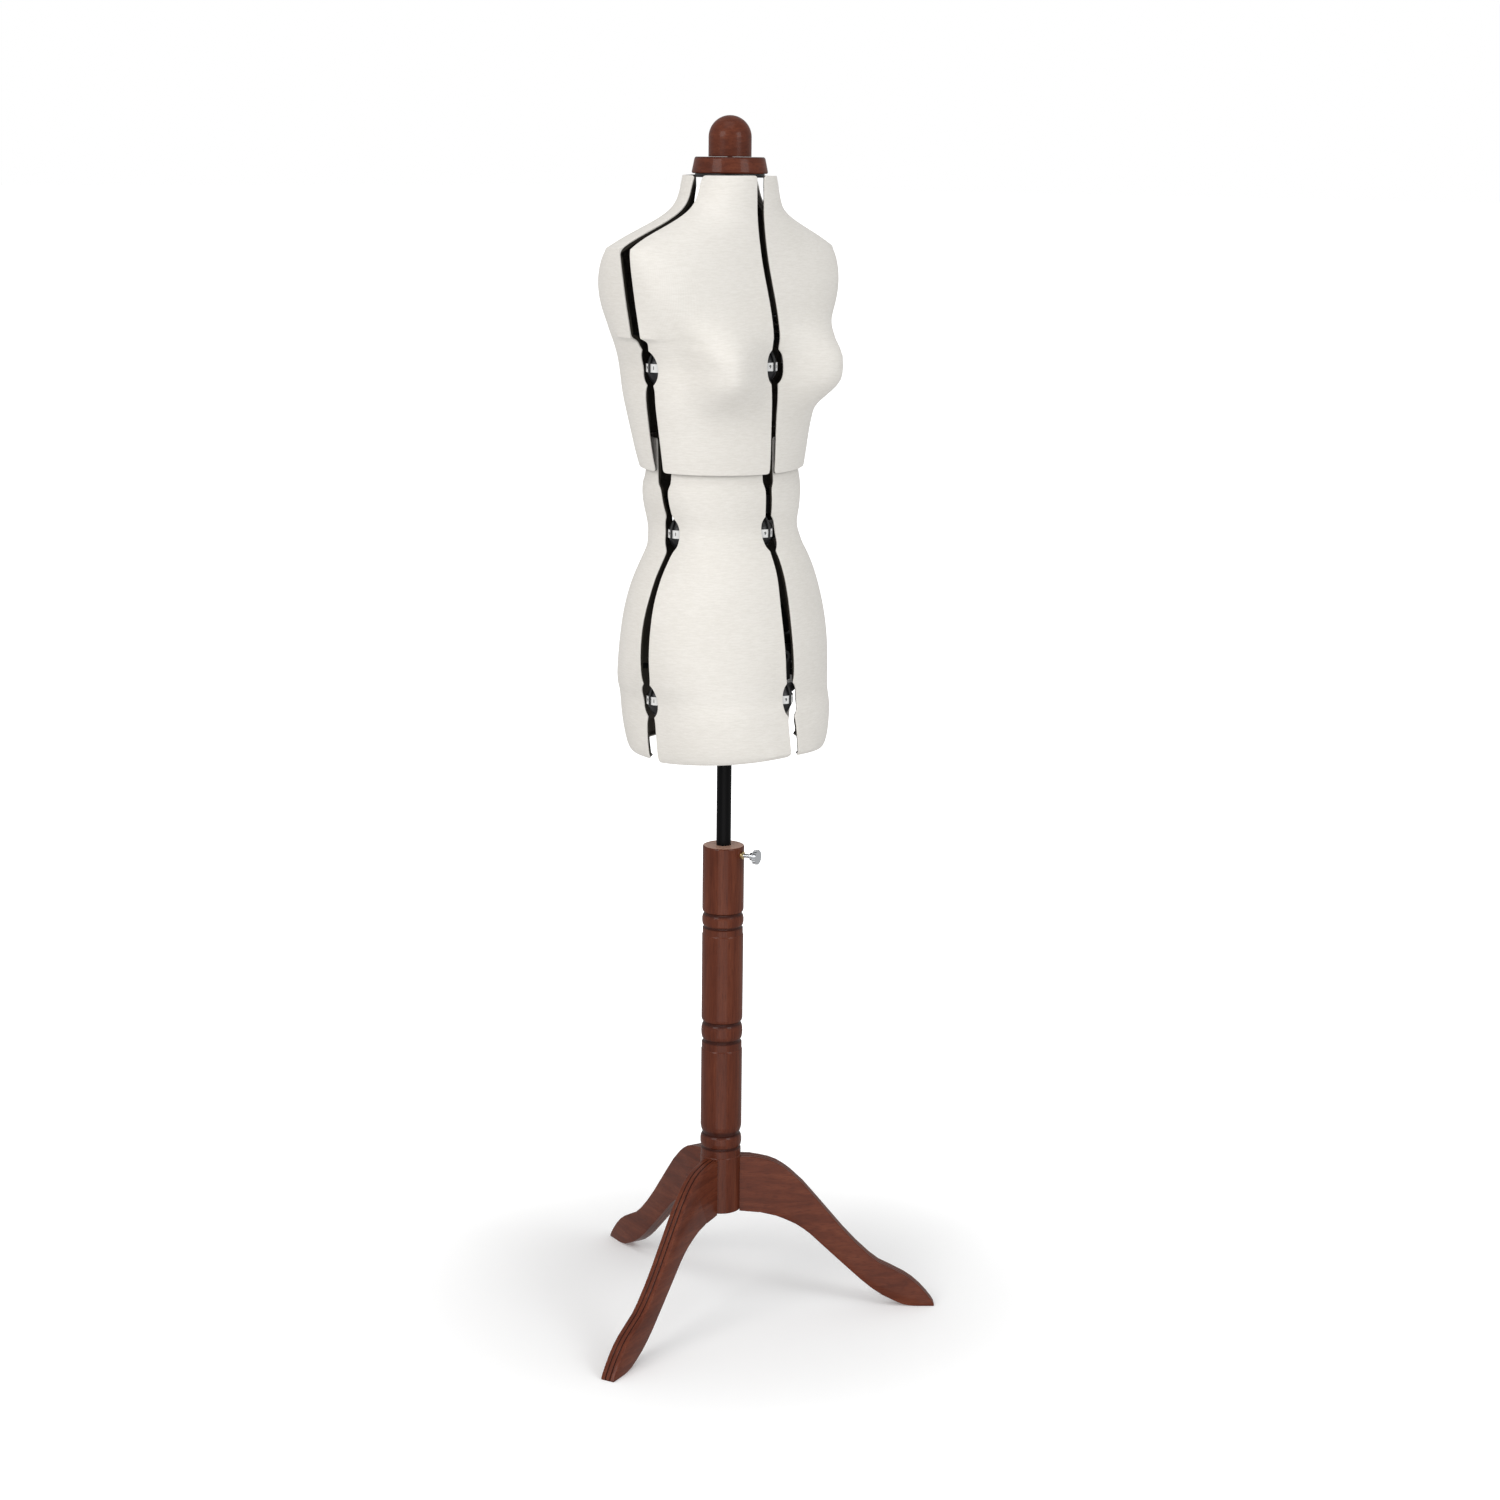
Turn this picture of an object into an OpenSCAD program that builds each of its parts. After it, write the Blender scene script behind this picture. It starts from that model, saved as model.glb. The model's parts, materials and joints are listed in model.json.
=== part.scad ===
// Adjustable dress form on a turned wooden stand.
// Millimetres. Z up, floor at z = 0, column axis on x = y = 0, the form faces -Y.

/* [Torso] */

// Levels of the bust, waist and hip dials above the floor
bust_z = 1247; // [1240:1:1254]
// Waist level
waist_z = 1041; // [1038:1:1044]
// Hip level
hip_z = 836; // [833:1:839]
// Fabric cover thickness
cover_t = 2.4; // [2:0.1:2.6]
// Moulded shell thickness
shell_t = 2.5; // [2:0.1:3]
// Half width of the gaps between panels at the waist
gap_half = 5.3; // [4.5:0.1:6]
// How far each bust cup stands out
cup_out = 48; // [40:1:50]

/* [Stand] */

// Column diameter
column_d = 53.8; // [52:0.2:58]
// Top of the column
column_top = 630; // [560:1:640]
// Mast tube diameter
mast_d = 19; // [18:0.5:21]
// Leg thickness
leg_t = 19; // [15:0.5:22]
// Leg layout, degrees of the first leg from +X
leg_turn = 75; // [0:1:119]

/* [Neck] */

// Diameter of the ball knob
knob_d = 53; // [46:1:58]
// Diameter of the neck disc
disc_d = 94; // [90:1:98]

/* [Hidden] */

run = 0.05;
mast_r = mast_d / 2;
skin = cover_t + 0.7;
wall = skin + shell_t;
set_back = 4;
rim = 8;
axis_in = 16;
dial_r = 16;
window_r = 12.6;
pinion_r = 6;
pinion_n = 10;
rack_lift = 30;
bar_lift = 39;
rod_lift = 53;
rod_r = 4;
col_r = column_d / 2;
screw_z = column_top - 11;
screw_at = 286;

// Sections: z, half width, depth to the front, depth to the back, squareness front, squareness back
UPPER = [
    [1119, 120.5, 78.5, 87, 1.8, 2.35], [1140, 125.5, 80, 89, 1.8, 2.5], [1160, 129, 80, 91, 1.8, 2.6],
    [1190, 134, 81, 99, 2, 2.6], [1205, 136.5, 81.5, 103, 2, 2.6], [1218, 137, 81, 107, 2, 2.6],
    [1247, 136.5, 78.5, 115, 2, 2.6], [1262, 142, 79.5, 114.5, 2, 2.6],
    [1270, 146.5, 81.5, 114.5, 2, 2.6], [1279, 150.5, 83, 115, 2, 2.6], [1283.5, 152, 84, 115.5, 2.1, 2.6],
    [1300, 159, 82, 118, 2.3, 2.6], [1315, 165.5, 79, 123, 2.5, 2.6], [1330, 171.5, 75, 125, 2.7, 2.6],
    [1345, 174, 71, 123, 2.8, 2.6], [1358, 176.5, 67, 119, 2.8, 2.6], [1378, 180, 62, 104, 2.4, 2.6],
    [1390, 181, 60, 87, 1.9, 2.6], [1403, 156, 57.5, 77, 1.9, 2.6], [1418, 114.5, 55.5, 69, 2, 2.5],
    [1433, 80, 54, 60, 2.05, 2.4], [1447, 66, 54, 57, 2.4, 2.4], [1460, 62.5, 53.5, 54, 2.4, 2.4],
    [1477, 55.5, 54, 55, 2.4, 2.4]];
LOWER = [
    [764, 124, 119, 97, 2.2, 2.5], [769, 128.5, 123.5, 102, 2.2, 2.5], [794, 133, 121, 110, 2.5, 2.55],
    [820, 132.5, 116, 112, 2.6, 2.65], [836, 133.5, 112.5, 112, 2.5, 2.7],
    [850, 139, 113, 112, 2.3, 2.7], [872, 145, 114.5, 111, 2.1, 2.5],
    [898, 145.5, 112.5, 110, 2.1, 2.35], [923, 143.5, 108.5, 106, 2.1, 2.4],
    [950, 138, 104, 100, 2.1, 2.5], [977, 127, 99, 93.5, 2.15, 2.6], [992, 120, 95, 89.5, 2.2, 2.6],
    [1008, 109.5, 88.5, 86, 2.35, 2.6], [1022, 100, 80.5, 84.5, 2.5, 2.6],
    [1041, 97.3, 73.3, 86, 2.35, 2.6], [1052, 98, 72, 88, 2.35, 2.6], [1062, 102, 73, 88, 2.3, 2.6],
    [1076, 108.5, 74.5, 87, 2.1, 2.6], [1090, 111.5, 74, 84.5, 2.05, 2.7],
    [1106, 112.5, 72, 81, 1.9, 2.6], [1112, 112.3, 71.2, 80.2, 1.8, 2.3],
    [1160, 112.3, 70.6, 79.6, 1.8, 2.3]];

UPPER_ROWS = [1119, 1140, 1165, 1188, 1205, 1219, 1226, 1231, 1238, 1247, 1256, 1263, 1268, 1275, 1279,
    1283.5, 1300, 1318, 1338, 1358, 1378, 1390, 1403, 1418, 1433, 1447, 1462, 1477];
LOWER_ROWS = [764, 769, 785, 808, 815, 820, 827, 836, 845, 852, 857, 864, 885, 910, 935, 958, 977, 992,
    1005, 1013, 1020, 1025, 1032, 1041, 1050, 1057, 1062, 1069, 1085, 1098, 1103, 1114, 1160];

// How much wider than at the waist half a gap is, by height: at the sides, and at the centre front and back
SIDE_MORE = [[764, 2.7], [836, 2.5], [930, 2.3], [960, 0.2], [1000, -0.2], [1090, 0.2], [1119, 1.2],
    [1140, 2.7], [1390, 2.9], [1403, 0.9], [1433, 1.2], [1477, 2.2]];
CENTRE_MORE = [[764, 1.2], [836, 2.2], [960, 2.9], [985, 1.5], [1020, 0.7], [1090, 0.6], [1119, -0.7],
    [1180, -0.7], [1220, 0], [1300, 0.5], [1477, 1]];

function col(t, k, z) = lookup(z, [for (s = t) [s[0], s[k]]]);
function drum(t, z, front) = [col(t, 1, z), col(t, front ? 2 : 3, z), col(t, front ? 4 : 5, z)];

// Half width of a gap at height z: a round window at each dial with a narrow neck above and below it
function window(dz, far) =
    lookup(abs(dz), [[0, window_r], [9, 12.2], [16, 10.2], [21, 5.4], [28, far]]);
function near_dial(z, d) = [for (level = [bust_z, waist_z, hip_z]) if (abs(z - level) < d) level];
function gap_at(z, more) =
    let (near = near_dial(z, 28), far = gap_half + lookup(z, more))
    len(near) == 0 ? far : window(z - near[0], far);

// The upper torso's hem dips a little at the front; the lower torso's hem hangs lower towards the sides;
// the lower panels' hidden tops are cut back
function hem_tilt(t, z) = t == UPPER ? 0.05 * max(0, 1 - (z - 1119) / 70) : 0;
function hem_drop(t, z, sy) = t == LOWER ? (sy < 0 ? 7.5 : 5) * max(0, 1 - (z - 764) / 42) : 0;
function corner(t, z) = t == LOWER && z > 1100 ? 4.7 : 0;

// Bust cup: height profile times width profile
function cup_up(d) = d > 0 ? pow(cos(90 * min(1, d / 70)), 2) : 1 - pow(min(1, -d / 52), 2.5);
function cup_side(p) = pow(max(0, 1 - pow((p - 59) / 30, 2)), 2);
function cup(z, p) = cup_out * cup_up(z - bust_z) * cup_side(p);

// The stub of an arm juts out beside the side gap, over a ledge, and melts into the chest and the back
function arm_stub(z, u, sy) =
    lookup(z, [[1279, 0], [1283.5, 10], [1300, 6], [1315, 3], [1330, 0]])
        * pow(max(0, 1 - u / (sy < 0 ? 0.32 : 0.6)), 2);

// A point of one panel's outer surface: u runs from the side gap (0) to the centre gap (1)
function skin_pt(t, z, u, sx, sy) =
    let (d = drum(t, z, sy < 0), a = d[0], b = d[1], n = d[2],
        gs = gap_at(z, SIDE_MORE) + corner(t, z), gc = gap_at(z, CENTRE_MORE) + corner(t, z),
        p0 = asin(pow(gs / b, n / 2)), p1 = acos(pow(gc / a, n / 2)), p = p0 + (p1 - p0) * u,
        c = (t == UPPER && sy < 0) ? cup(z, p) : 0, e = t == UPPER ? arm_stub(z, u, sy) : 0,
        y = sy * (b * pow(sin(p), 2 / n) + 0.86 * c))
    [sx * (a * pow(cos(p), 2 / n) + 0.5 * c + e), y, z + hem_tilt(t, z) * y - hem_drop(t, z, sy) * (1 - u)];

function unit(v) = v / norm(v);
function grid(t, rows, nu, sx, sy) =
    [for (z = rows) [for (j = [0:nu]) skin_pt(t, z, j / nu, sx, sy)]];
// Outward normal by neighbouring points
function out_n(g, i, j, s) =
    let (m = len(g) - 1, k = len(g[0]) - 1,
        du = g[i][min(j + 1, k)] - g[i][max(j - 1, 0)],
        dv = g[min(i + 1, m)][j] - g[max(i - 1, 0)][j])
    s * unit(cross(du, dv));

// A shell's edges are turned inwards as a rim, except at the dials, where the lower torso slides inside
// the upper one, and at the two ends of the centre gaps
function rim_at(t, z, side, to) =
    len(near_dial(z, 26)) > 0 || (t == UPPER && z < 1175) || (!side && (z > 1440 || z < 800)) ? to : rim;
// The grid moved inwards by d, and by the rim's depth along both gap edges of a shell
function inset(g, s, d, t, rows, rimmed) =
    let (k = len(g[0]) - 1)
    [for (i = [0:len(g) - 1]) [for (j = [0:k])
        g[i][j] - (rimmed && (j == 0 || j == k) ? rim_at(t, rows[i], j == 0, d) : d) * out_n(g, i, j, s)]];
// A row of points with both ends drawn in by d
function draw_in(r, d) =
    let (k = len(r) - 1)
    [for (j = [0:k])
        j == 0 ? r[0] + d * unit(r[1] - r[0]) : j == k ? r[k] + d * unit(r[k - 1] - r[k]) : r[j]];

// A curved sheet between two depths under the outer surface
module sheet(t, rows, nu, sx, sy, from, to, back) {
    s = sx * sy;
    base = grid(t, rows, nu, sx, sy);
    a = [for (r = inset(base, s, from, t, rows, false)) draw_in(r, back)];
    b = [for (r = inset(base, s, to, t, rows, back > 0)) draw_in(r, back)];
    m = len(rows);
    w = nu + 1;
    pts = [for (g = [a, b]) for (r = g) for (q = r) q];
    o = m * w;
    quads = concat(
        [for (i = [0:m - 2]) for (j = [0:nu - 1])
            [i * w + j, i * w + j + 1, (i + 1) * w + j + 1, (i + 1) * w + j]],
        [for (i = [0:m - 2]) for (j = [0:nu - 1])
            [o + i * w + j, o + (i + 1) * w + j, o + (i + 1) * w + j + 1, o + i * w + j + 1]],
        [for (i = [0:m - 2]) [i * w, (i + 1) * w, o + (i + 1) * w, o + i * w]],
        [for (i = [0:m - 2]) [(i + 1) * w + nu, i * w + nu, o + i * w + nu, o + (i + 1) * w + nu]],
        [for (j = [0:nu - 1]) [j + 1, j, o + j, o + j + 1]],
        [for (j = [0:nu - 1])
            [(m - 1) * w + j, (m - 1) * w + j + 1, o + (m - 1) * w + j + 1, o + (m - 1) * w + j]]);
    tris = [for (q = quads) for (f = [[q[0], q[1], q[2]], [q[0], q[2], q[3]]])
        s > 0 ? [f[2], f[1], f[0]] : f];
    polyhedron(points = pts, faces = tris, convexity = 6);
}

module cover(sx, sy, up) {
    color([0.88, 0.86, 0.82])
    if (up) sheet(UPPER, UPPER_ROWS, sy < 0 ? 11 : 8, sx, sy, 0, cover_t, 0);
    else sheet(LOWER, LOWER_ROWS, 7, sx, sy, 0, cover_t, 0);
}

module shell(sx, sy, up) {
    color([0.14, 0.13, 0.12])
    if (up) sheet(UPPER, UPPER_ROWS, sy < 0 ? 11 : 8, sx, sy, skin, wall, set_back);
    else sheet(LOWER, LOWER_ROWS, 7, sx, sy, skin, wall, set_back);
}

// Distance from the mast axis to the torso surface at a dial, for a side k: 0 front, 1 left, 2 back, 3 right
function level_t(z) = z > 1140 ? UPPER : LOWER;
function reach(z, k) = k % 2 == 1 ? col(level_t(z), 1, z) : col(level_t(z), k == 0 ? 2 : 3, z);
// Turn local coordinates (x along the gap direction, -y outward) to side k
module at_side(k) {
    rotate([0, 0, k * 90]) children();
}

// Depth of the shell's inner face below the dial's surface line, off to one side by s and up by lift;
// beside the front bust dial the cup starts to rise
function fall(z, lift, k, s, toward_front) =
    let (t = level_t(z), u = z + lift - 4, a = col(t, 1, u), f = k == 0 || (k % 2 == 1 && toward_front),
        b = col(t, f ? 2 : 3, u), n = col(t, f ? 4 : 5, u),
        r = k % 2 == 1 ? a : b, w = k % 2 == 1 ? b : a,
        c = k == 0 && t == UPPER ? 0.86 * cup(u, acos(pow((s - 3.5) / w, n / 2))) : 0)
    reach(z, k) - c - r * pow(1 - pow(s / w, n), 1 / n) + wall;

// Toothed wheel on each dial's spindle
module pinion(h) {
    linear_extrude(h)
    union() {
        circle(r = pinion_r - 1.4, $fn = 40);
        for (i = [0:pinion_n - 1])
            rotate(i * 360 / pinion_n)
            translate([0, -1, 0])
            polygon([[3.5, -0.3], [4.7, -0.05], [6.7, 0.6], [6.7, 1.4], [4.7, 2.05], [3.5, 2.3]]);
    }
}

// Rack bar: teeth on its outward edge, pitch line at y = 0
module rack_bar(x0, x1, t0, t1) {
    pitch = 2 * PI * pinion_r / pinion_n;
    translate([x0, 1.3, 0])
    cube([x1 - x0, 3.7, 6]);
    linear_extrude(6)
    for (i = [ceil(t0 / pitch):floor(t1 / pitch)])
        translate([i * pitch, 0, 0])
        polygon([[-1.15, 1.4], [-0.4, -0.8], [0.4, -0.8], [1.15, 1.4]]);
}

// Dial: lemon-shaped thumbwheel with a number band, spindle and pinion, standing upright
module dial(z, k) {
    y = -(reach(z, k) - axis_in);
    color([0.07, 0.07, 0.08])
    at_side(k)
    translate([0, y, z])
    union() {
        rotate_extrude($fn = 48)
        polygon([[0, -21], [4.2, -21], [8, -18.5], [11.6, -13.5], [14.2, -8], [15.1, -5.2], [dial_r, -5.2],
            [dial_r, 5.2], [15.1, 5.2], [14.2, 8], [11.6, 13.5], [8, 18.5], [4.2, 21], [0, 21]]);
        translate([0, 0, 20])
        cylinder(r = 3, h = 25, $fn = 32);
        translate([0, 0, rack_lift - 3])
        pinion(6);
    }
}

// Housing that carries a dial's spindle and guides the rack and the slide bar, above the dial
module housing(z, k) {
    r = reach(z, k);
    translate([0, -r, z])
    difference() {
        translate([-12, axis_in - 5, 23.4])
        cube([24, 20, 22.6]);
        translate([0, axis_in, 20])
        cylinder(r = 3 + run, h = 30, $fn = 32);
        translate([0, axis_in, rack_lift - 3.4])
        cylinder(r = 7.5, h = 6.8, $fn = 32);
        translate([-13, axis_in + 4.6, rack_lift - 3.3])
        cube([26, 6.8, 6.6]);
        translate([-13, axis_in + 7, bar_lift - 3.3])
        cube([26, 4.3, 6.6]);
    }
}

// Pointer: a thin strip from the housing down over the number band
module pointer(z, k) {
    y = -reach(z, k) + axis_in;
    translate([0, 0, z])
    rotate([90, 0, 90])
    linear_extrude(3, center = true)
    polygon([[y - 4.6, 25], [y - 4.6, 22], [y - 9, 18.8], [y - 13, 13.7], [y - 15.6, 8], [y - 16.5, 5.5],
        [y - 16.5, -6.5], [y - 17.5, -6.5], [y - 17.5, 6], [y - 16.7, 8.5], [y - 14.4, 14.4],
        [y - 10.4, 19.6], [y - 6.2, 23], [y - 6.2, 25]]);
}

module rod_sleeve(z, k, depth_max) {
    r = reach(z, k);
    translate([0, -r + 8, z + rod_lift])
    rotate([-90, 0, 0])
    difference() {
        cylinder(r = 8, h = depth_max, $fn = 40);
        translate([0, 0, -1])
        cylinder(r = rod_r + run, h = depth_max + 2, $fn = 40);
    }
}

module upper_carriage(k) {
    color([0.12, 0.12, 0.13])
    at_side(k)
    union() {
        housing(bust_z, k);
        pointer(bust_z, k);
        rod_sleeve(bust_z, k, 38);
    }
}

module lower_carriage(k) {
    h = -(reach(hip_z, k) - 27);
    w = -(reach(waist_z, k) - axis_in - 13);
    color([0.12, 0.12, 0.13])
    at_side(k)
    difference() {
        union() {
            housing(hip_z, k);
            housing(waist_z, k);
            pointer(hip_z, k);
            pointer(waist_z, k);
            rod_sleeve(hip_z, k, 38);
            rotate([90, 0, 90])
            linear_extrude(8, center = true)
            polygon([[h - 6, hip_z + 60], [h + 4, hip_z + 60], [h + 4, hip_z + 70], [w + 13, waist_z - 30],
                [w + 13, waist_z + 46], [w, waist_z + 46], [w, waist_z + 24], [w + 5, waist_z + 22],
                [w + 5, waist_z - 28], [h - 6, hip_z + 75]]);
        }
        translate([0, -reach(hip_z, k) + 7, hip_z + rod_lift])
        rotate([-90, 0, 0])
        cylinder(r = rod_r + run, h = 60, $fn = 40);
    }
}

// Rack or slide bar of one panel at one dial; local x points to the panel, s picks which side
module panel_bar(z, k, toothed, s) {
    r = reach(z, k);
    front = k % 2 == 1 ? (k == 1 ? s < 0 : s > 0) : k == 0;
    lift = toothed ? rack_lift : bar_lift;
    post = fall(z, lift, k, 28, front) - 0.4;
    at_side(k)
    translate([0, -r, z])
    mirror([s < 0 ? 1 : 0, 0, 0])
    union() {
        translate([0, axis_in + pinion_r, lift - 3])
        if (toothed) rack_bar(-27, 29, -26, 5);
        else translate([-14, 1.3, 0]) cube([43, 3.7, 6]);
        translate([26, post, lift - 3])
        cube([3, axis_in + pinion_r + 3 - post, 6]);
    }
}

// Which bars a panel carries: the left panels have the racks of the centre dials,
// the front panels have the racks of the side dials
module panel_bars(sx, sy, up) {
    kc = sy < 0 ? 0 : 2;
    ks = sx > 0 ? 1 : 3;
    color([0.2, 0.2, 0.21])
    for (z = up ? [bust_z] : [waist_z, hip_z]) {
        panel_bar(z, kc, sx > 0, kc == 0 ? sx : -sx);
        panel_bar(z, ks, sy < 0, ks == 1 ? sy : -sy);
    }
}

// Hub with four guide rods
module spider(z, rod_z, h) {
    difference() {
        union() {
            translate([0, 0, rod_z - h / 2])
            cylinder(r = 17, h = h, $fn = 64);
            for (k = [0:3])
                at_side(k)
                translate([0, 0, rod_z])
                rotate([90, 0, 0])
                cylinder(r = rod_r, h = reach(z, k) - 13, $fn = 40);
        }
        translate([0, 0, rod_z - h])
        cylinder(r = mast_r + run, h = 2 * h, $fn = 64);
    }
}

module lower_spider() {
    color([0.35, 0.36, 0.37])
    spider(hip_z, hip_z + rod_lift, 44);
}

module upper_spider() {
    color([0.35, 0.36, 0.37])
    difference() {
        union() {
            spider(bust_z, bust_z + rod_lift, 40);
            translate([0, 0, bust_z + rod_lift])
            cylinder(r = 12.5, h = 168, $fn = 64);
        }
        translate([0, 0, bust_z])
        cylinder(r = mast_r + run, h = 260, $fn = 64);
    }
}

module mast_tube() {
    color([0.06, 0.06, 0.06])
    translate([0, 0, 320])
    difference() {
        cylinder(r = mast_r, h = 1120, $fn = 64);
        translate([0, 0, -1])
        cylinder(r = mast_r - 1.5, h = 1122, $fn = 64);
    }
}

// Split ring clamped on the mast that carries the torso
module mast_collar() {
    color([0.5, 0.5, 0.52])
    translate([0, 0, hip_z + rod_lift - 22 - 12.6])
    difference() {
        cylinder(r = 17, h = 12, $fn = 64);
        translate([0, 0, -1])
        cylinder(r = mast_r + run, h = 14, $fn = 64);
        translate([9, -1, -1])
        cube([10, 2, 14]);
    }
}

module neck_plate() {
    color([0.06, 0.06, 0.06])
    difference() {
        union() {
            translate([0, 0, 1474.4])
            cylinder(r = 43, h = 4.4, $fn = 64);
            translate([0, 0, 1452])
            cylinder(r = 17, h = 23, $fn = 64);
        }
        translate([0, 0, 1451])
        cylinder(r = 12.5 + run, h = 17.2, $fn = 64);
        translate([0, 0, 1460])
        cylinder(r = 3.1, h = 30, $fn = 32);
    }
}

module neck_disc() {
    color([0.36, 0.15, 0.09])
    translate([0, 0, 1479])
    rotate_extrude($fn = 96)
    polygon([[3.1, 0], [disc_d / 2 - 1.5, 0], [disc_d / 2 - 0.4, 0.6], [disc_d / 2, 2],
        [disc_d / 2 - 3.2, 17.5], [disc_d / 2 - 4, 19.2], [disc_d / 2 - 5.5, 20], [3.1, 20]]);
}

module neck_knob() {
    r = knob_d / 2;
    color([0.36, 0.15, 0.09])
    translate([0, 0, 1499.2])
    difference() {
        union() {
            cylinder(r = r, h = 50 - r, $fn = 96);
            translate([0, 0, 50 - r])
            difference() {
                sphere(r = r, $fn = 96);
                translate([0, 0, -r - 1])
                cube([4 * r, 4 * r, 2 * r + 2], center = true);
            }
        }
        translate([0, 0, -1])
        cylinder(r = 3.1, h = 21, $fn = 32);
    }
}

module cap_screw() {
    color([0.6, 0.6, 0.62])
    union() {
        translate([0, 0, 1463.6])
        cylinder(r = 5.6, h = 4, $fn = 6);
        translate([0, 0, 1464])
        cylinder(r = 3, h = 53, $fn = 32);
    }
}

// Turned column: radii down the length, grooves and beads
module column() {
    t = column_top;
    color([0.36, 0.15, 0.09])
    difference() {
        rotate_extrude($fn = 96)
        polygon(concat(
            [[mast_r + run, 136], [col_r - 1, 136], [col_r, 137], [col_r, 211], [col_r - 0.6, 212],
            [col_r - 0.6, 220.5], [col_r - 2.4, 222], [col_r - 2.4, 223.5]],
            [for (a = [-75:30:75]) [col_r - 2.4 + 2.6 * cos(a), 232 + 8.5 * sin(a)]],
            [[col_r - 3, 241], [col_r - 2.2, 244], [col_r - 0.8, 248], [col_r, 253],
            [col_r, 356], [col_r - 0.7, 357.5], [col_r - 0.7, 366], [col_r - 2.8, 368], [col_r - 2.8, 369.5]],
            [for (a = [-75:25:75]) [col_r - 2.8 + 3 * cos(a), 381 + 11 * sin(a)]],
            [[col_r - 2.8, 392.5], [col_r - 2.8, 394], [col_r - 0.8, 396], [col_r, 399],
            [col_r, 511], [col_r - 0.7, 512.5], [col_r - 0.7, 520], [col_r - 2.4, 521.5], [col_r - 2.4, 523]],
            [for (a = [-75:30:75]) [col_r - 2.4 + 2.6 * cos(a), 531 + 8 * sin(a)]],
            [[col_r - 2.4, 539.5], [col_r - 2.4, 541], [col_r - 0.6, 543], [col_r, 546],
            [col_r, t - 2], [col_r - 0.6, t - 0.6], [col_r - 2, t], [mast_r + run, t]]));
        for (i = [0:2])
            rotate([0, 0, leg_turn + i * 120]) {
                translate([14.9, -5.1, 149.8])
                cube([20, 10.2, 45.4]);
                translate([20.5, 0, 130])
                cylinder(r = 2.55, h = 78, $fn = 32);
            }
        translate([0, 0, screw_z])
        rotate([0, 90, screw_at])
        cylinder(r = 5.05, h = 60, $fn = 40);
    }
}

// One leg: outline from root to toe, and a tenon on the root
module leg(i) {
    color([0.38, 0.16, 0.1])
    rotate([0, 0, leg_turn + i * 120])
    difference() {
        rotate([90, 0, 0])
        linear_extrude(leg_t, center = true)
        polygon([[24, 209.5], [40, 209], [52, 207], [63, 204.5], [73, 200.5], [83, 194.5], [92, 187.5],
            [109, 171.5], [127, 150.5], [145, 129], [163, 107.5], [181, 88], [199, 71], [212, 61], [228, 53],
            [246, 43.5], [257, 36], [267, 27], [276, 17], [283, 8], [286.5, 2], [286, 0], [262, 0],
            [253, 0.8], [243, 3], [232, 8], [217, 15.5], [203, 25], [189, 36.5], [163, 60.5], [146, 76.5],
            [128, 93.5], [119, 102], [110, 109], [101, 115], [92, 119.5], [83, 123.5], [74, 127],
            [52, 132], [24, 134.5]]);
        translate([0, 0, 100])
        cylinder(r = col_r + 0.1, h = 130, $fn = 96);
    }
    color([0.38, 0.16, 0.1])
    rotate([0, 0, leg_turn + i * 120])
    difference() {
        translate([15, -5, 150])
        cube([14.5, 10, 45]);
        translate([20.5, 0, 140])
        cylinder(r = 2.55, h = 60, $fn = 32);
    }
}

// Steel pins driven up through the leg tenons
module leg_pins() {
    color([0.6, 0.6, 0.62])
    for (i = [0:2])
        rotate([0, 0, leg_turn + i * 120])
        translate([20.5, 0, 137])
        cylinder(r = 2.5, h = 70, $fn = 32);
}

module insert_nut() {
    color([0.7, 0.68, 0.6])
    translate([0, 0, screw_z])
    rotate([0, 90, screw_at])
    difference() {
        translate([0, 0, 12])
        cylinder(r = 5, h = col_r + 2 - 12, $fn = 40);
        translate([0, 0, 11])
        cylinder(r = 2.6, h = 30, $fn = 32);
    }
}

module thumbscrew() {
    color([0.72, 0.73, 0.74])
    translate([0, 0, screw_z])
    rotate([0, 90, screw_at])
    union() {
        translate([0, 0, mast_r + 0.15])
        cylinder(r = 2.55, h = 34, $fn = 32);
        translate([0, 0, 40])
        cylinder(r = 5.2, h = 6, $fn = 32);
        translate([0, 0, 45])
        linear_extrude(5.5)
        union() {
            circle(r = 8.8, $fn = 48);
            for (i = [0:17])
                rotate(i * 20)
                translate([8.6, 0])
                circle(r = 0.95, $fn = 14);
        }
    }
}

column();
leg(0);  // leg_1
leg(1);  // leg_2
leg(2);  // leg_3
leg_pins();
insert_nut();
thumbscrew();
mast_tube();
mast_collar();
lower_spider();
upper_spider();
neck_plate();
neck_disc();
neck_knob();
cap_screw();
cover(-1, -1, true);  // upper_front_right_cover
cover(1, -1, true);  // upper_front_left_cover
cover(-1, 1, true);  // upper_back_right_cover
cover(1, 1, true);  // upper_back_left_cover
shell(-1, -1, true);  // upper_front_right_shell
shell(1, -1, true);  // upper_front_left_shell
shell(-1, 1, true);  // upper_back_right_shell
shell(1, 1, true);  // upper_back_left_shell
panel_bars(-1, -1, true);  // upper_front_right_bars
panel_bars(1, -1, true);  // upper_front_left_bars
panel_bars(-1, 1, true);  // upper_back_right_bars
panel_bars(1, 1, true);  // upper_back_left_bars
cover(-1, -1, false);  // lower_front_right_cover
cover(1, -1, false);  // lower_front_left_cover
cover(-1, 1, false);  // lower_back_right_cover
cover(1, 1, false);  // lower_back_left_cover
shell(-1, -1, false);  // lower_front_right_shell
shell(1, -1, false);  // lower_front_left_shell
shell(-1, 1, false);  // lower_back_right_shell
shell(1, 1, false);  // lower_back_left_shell
panel_bars(-1, -1, false);  // lower_front_right_bars
panel_bars(1, -1, false);  // lower_front_left_bars
panel_bars(-1, 1, false);  // lower_back_right_bars
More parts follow.
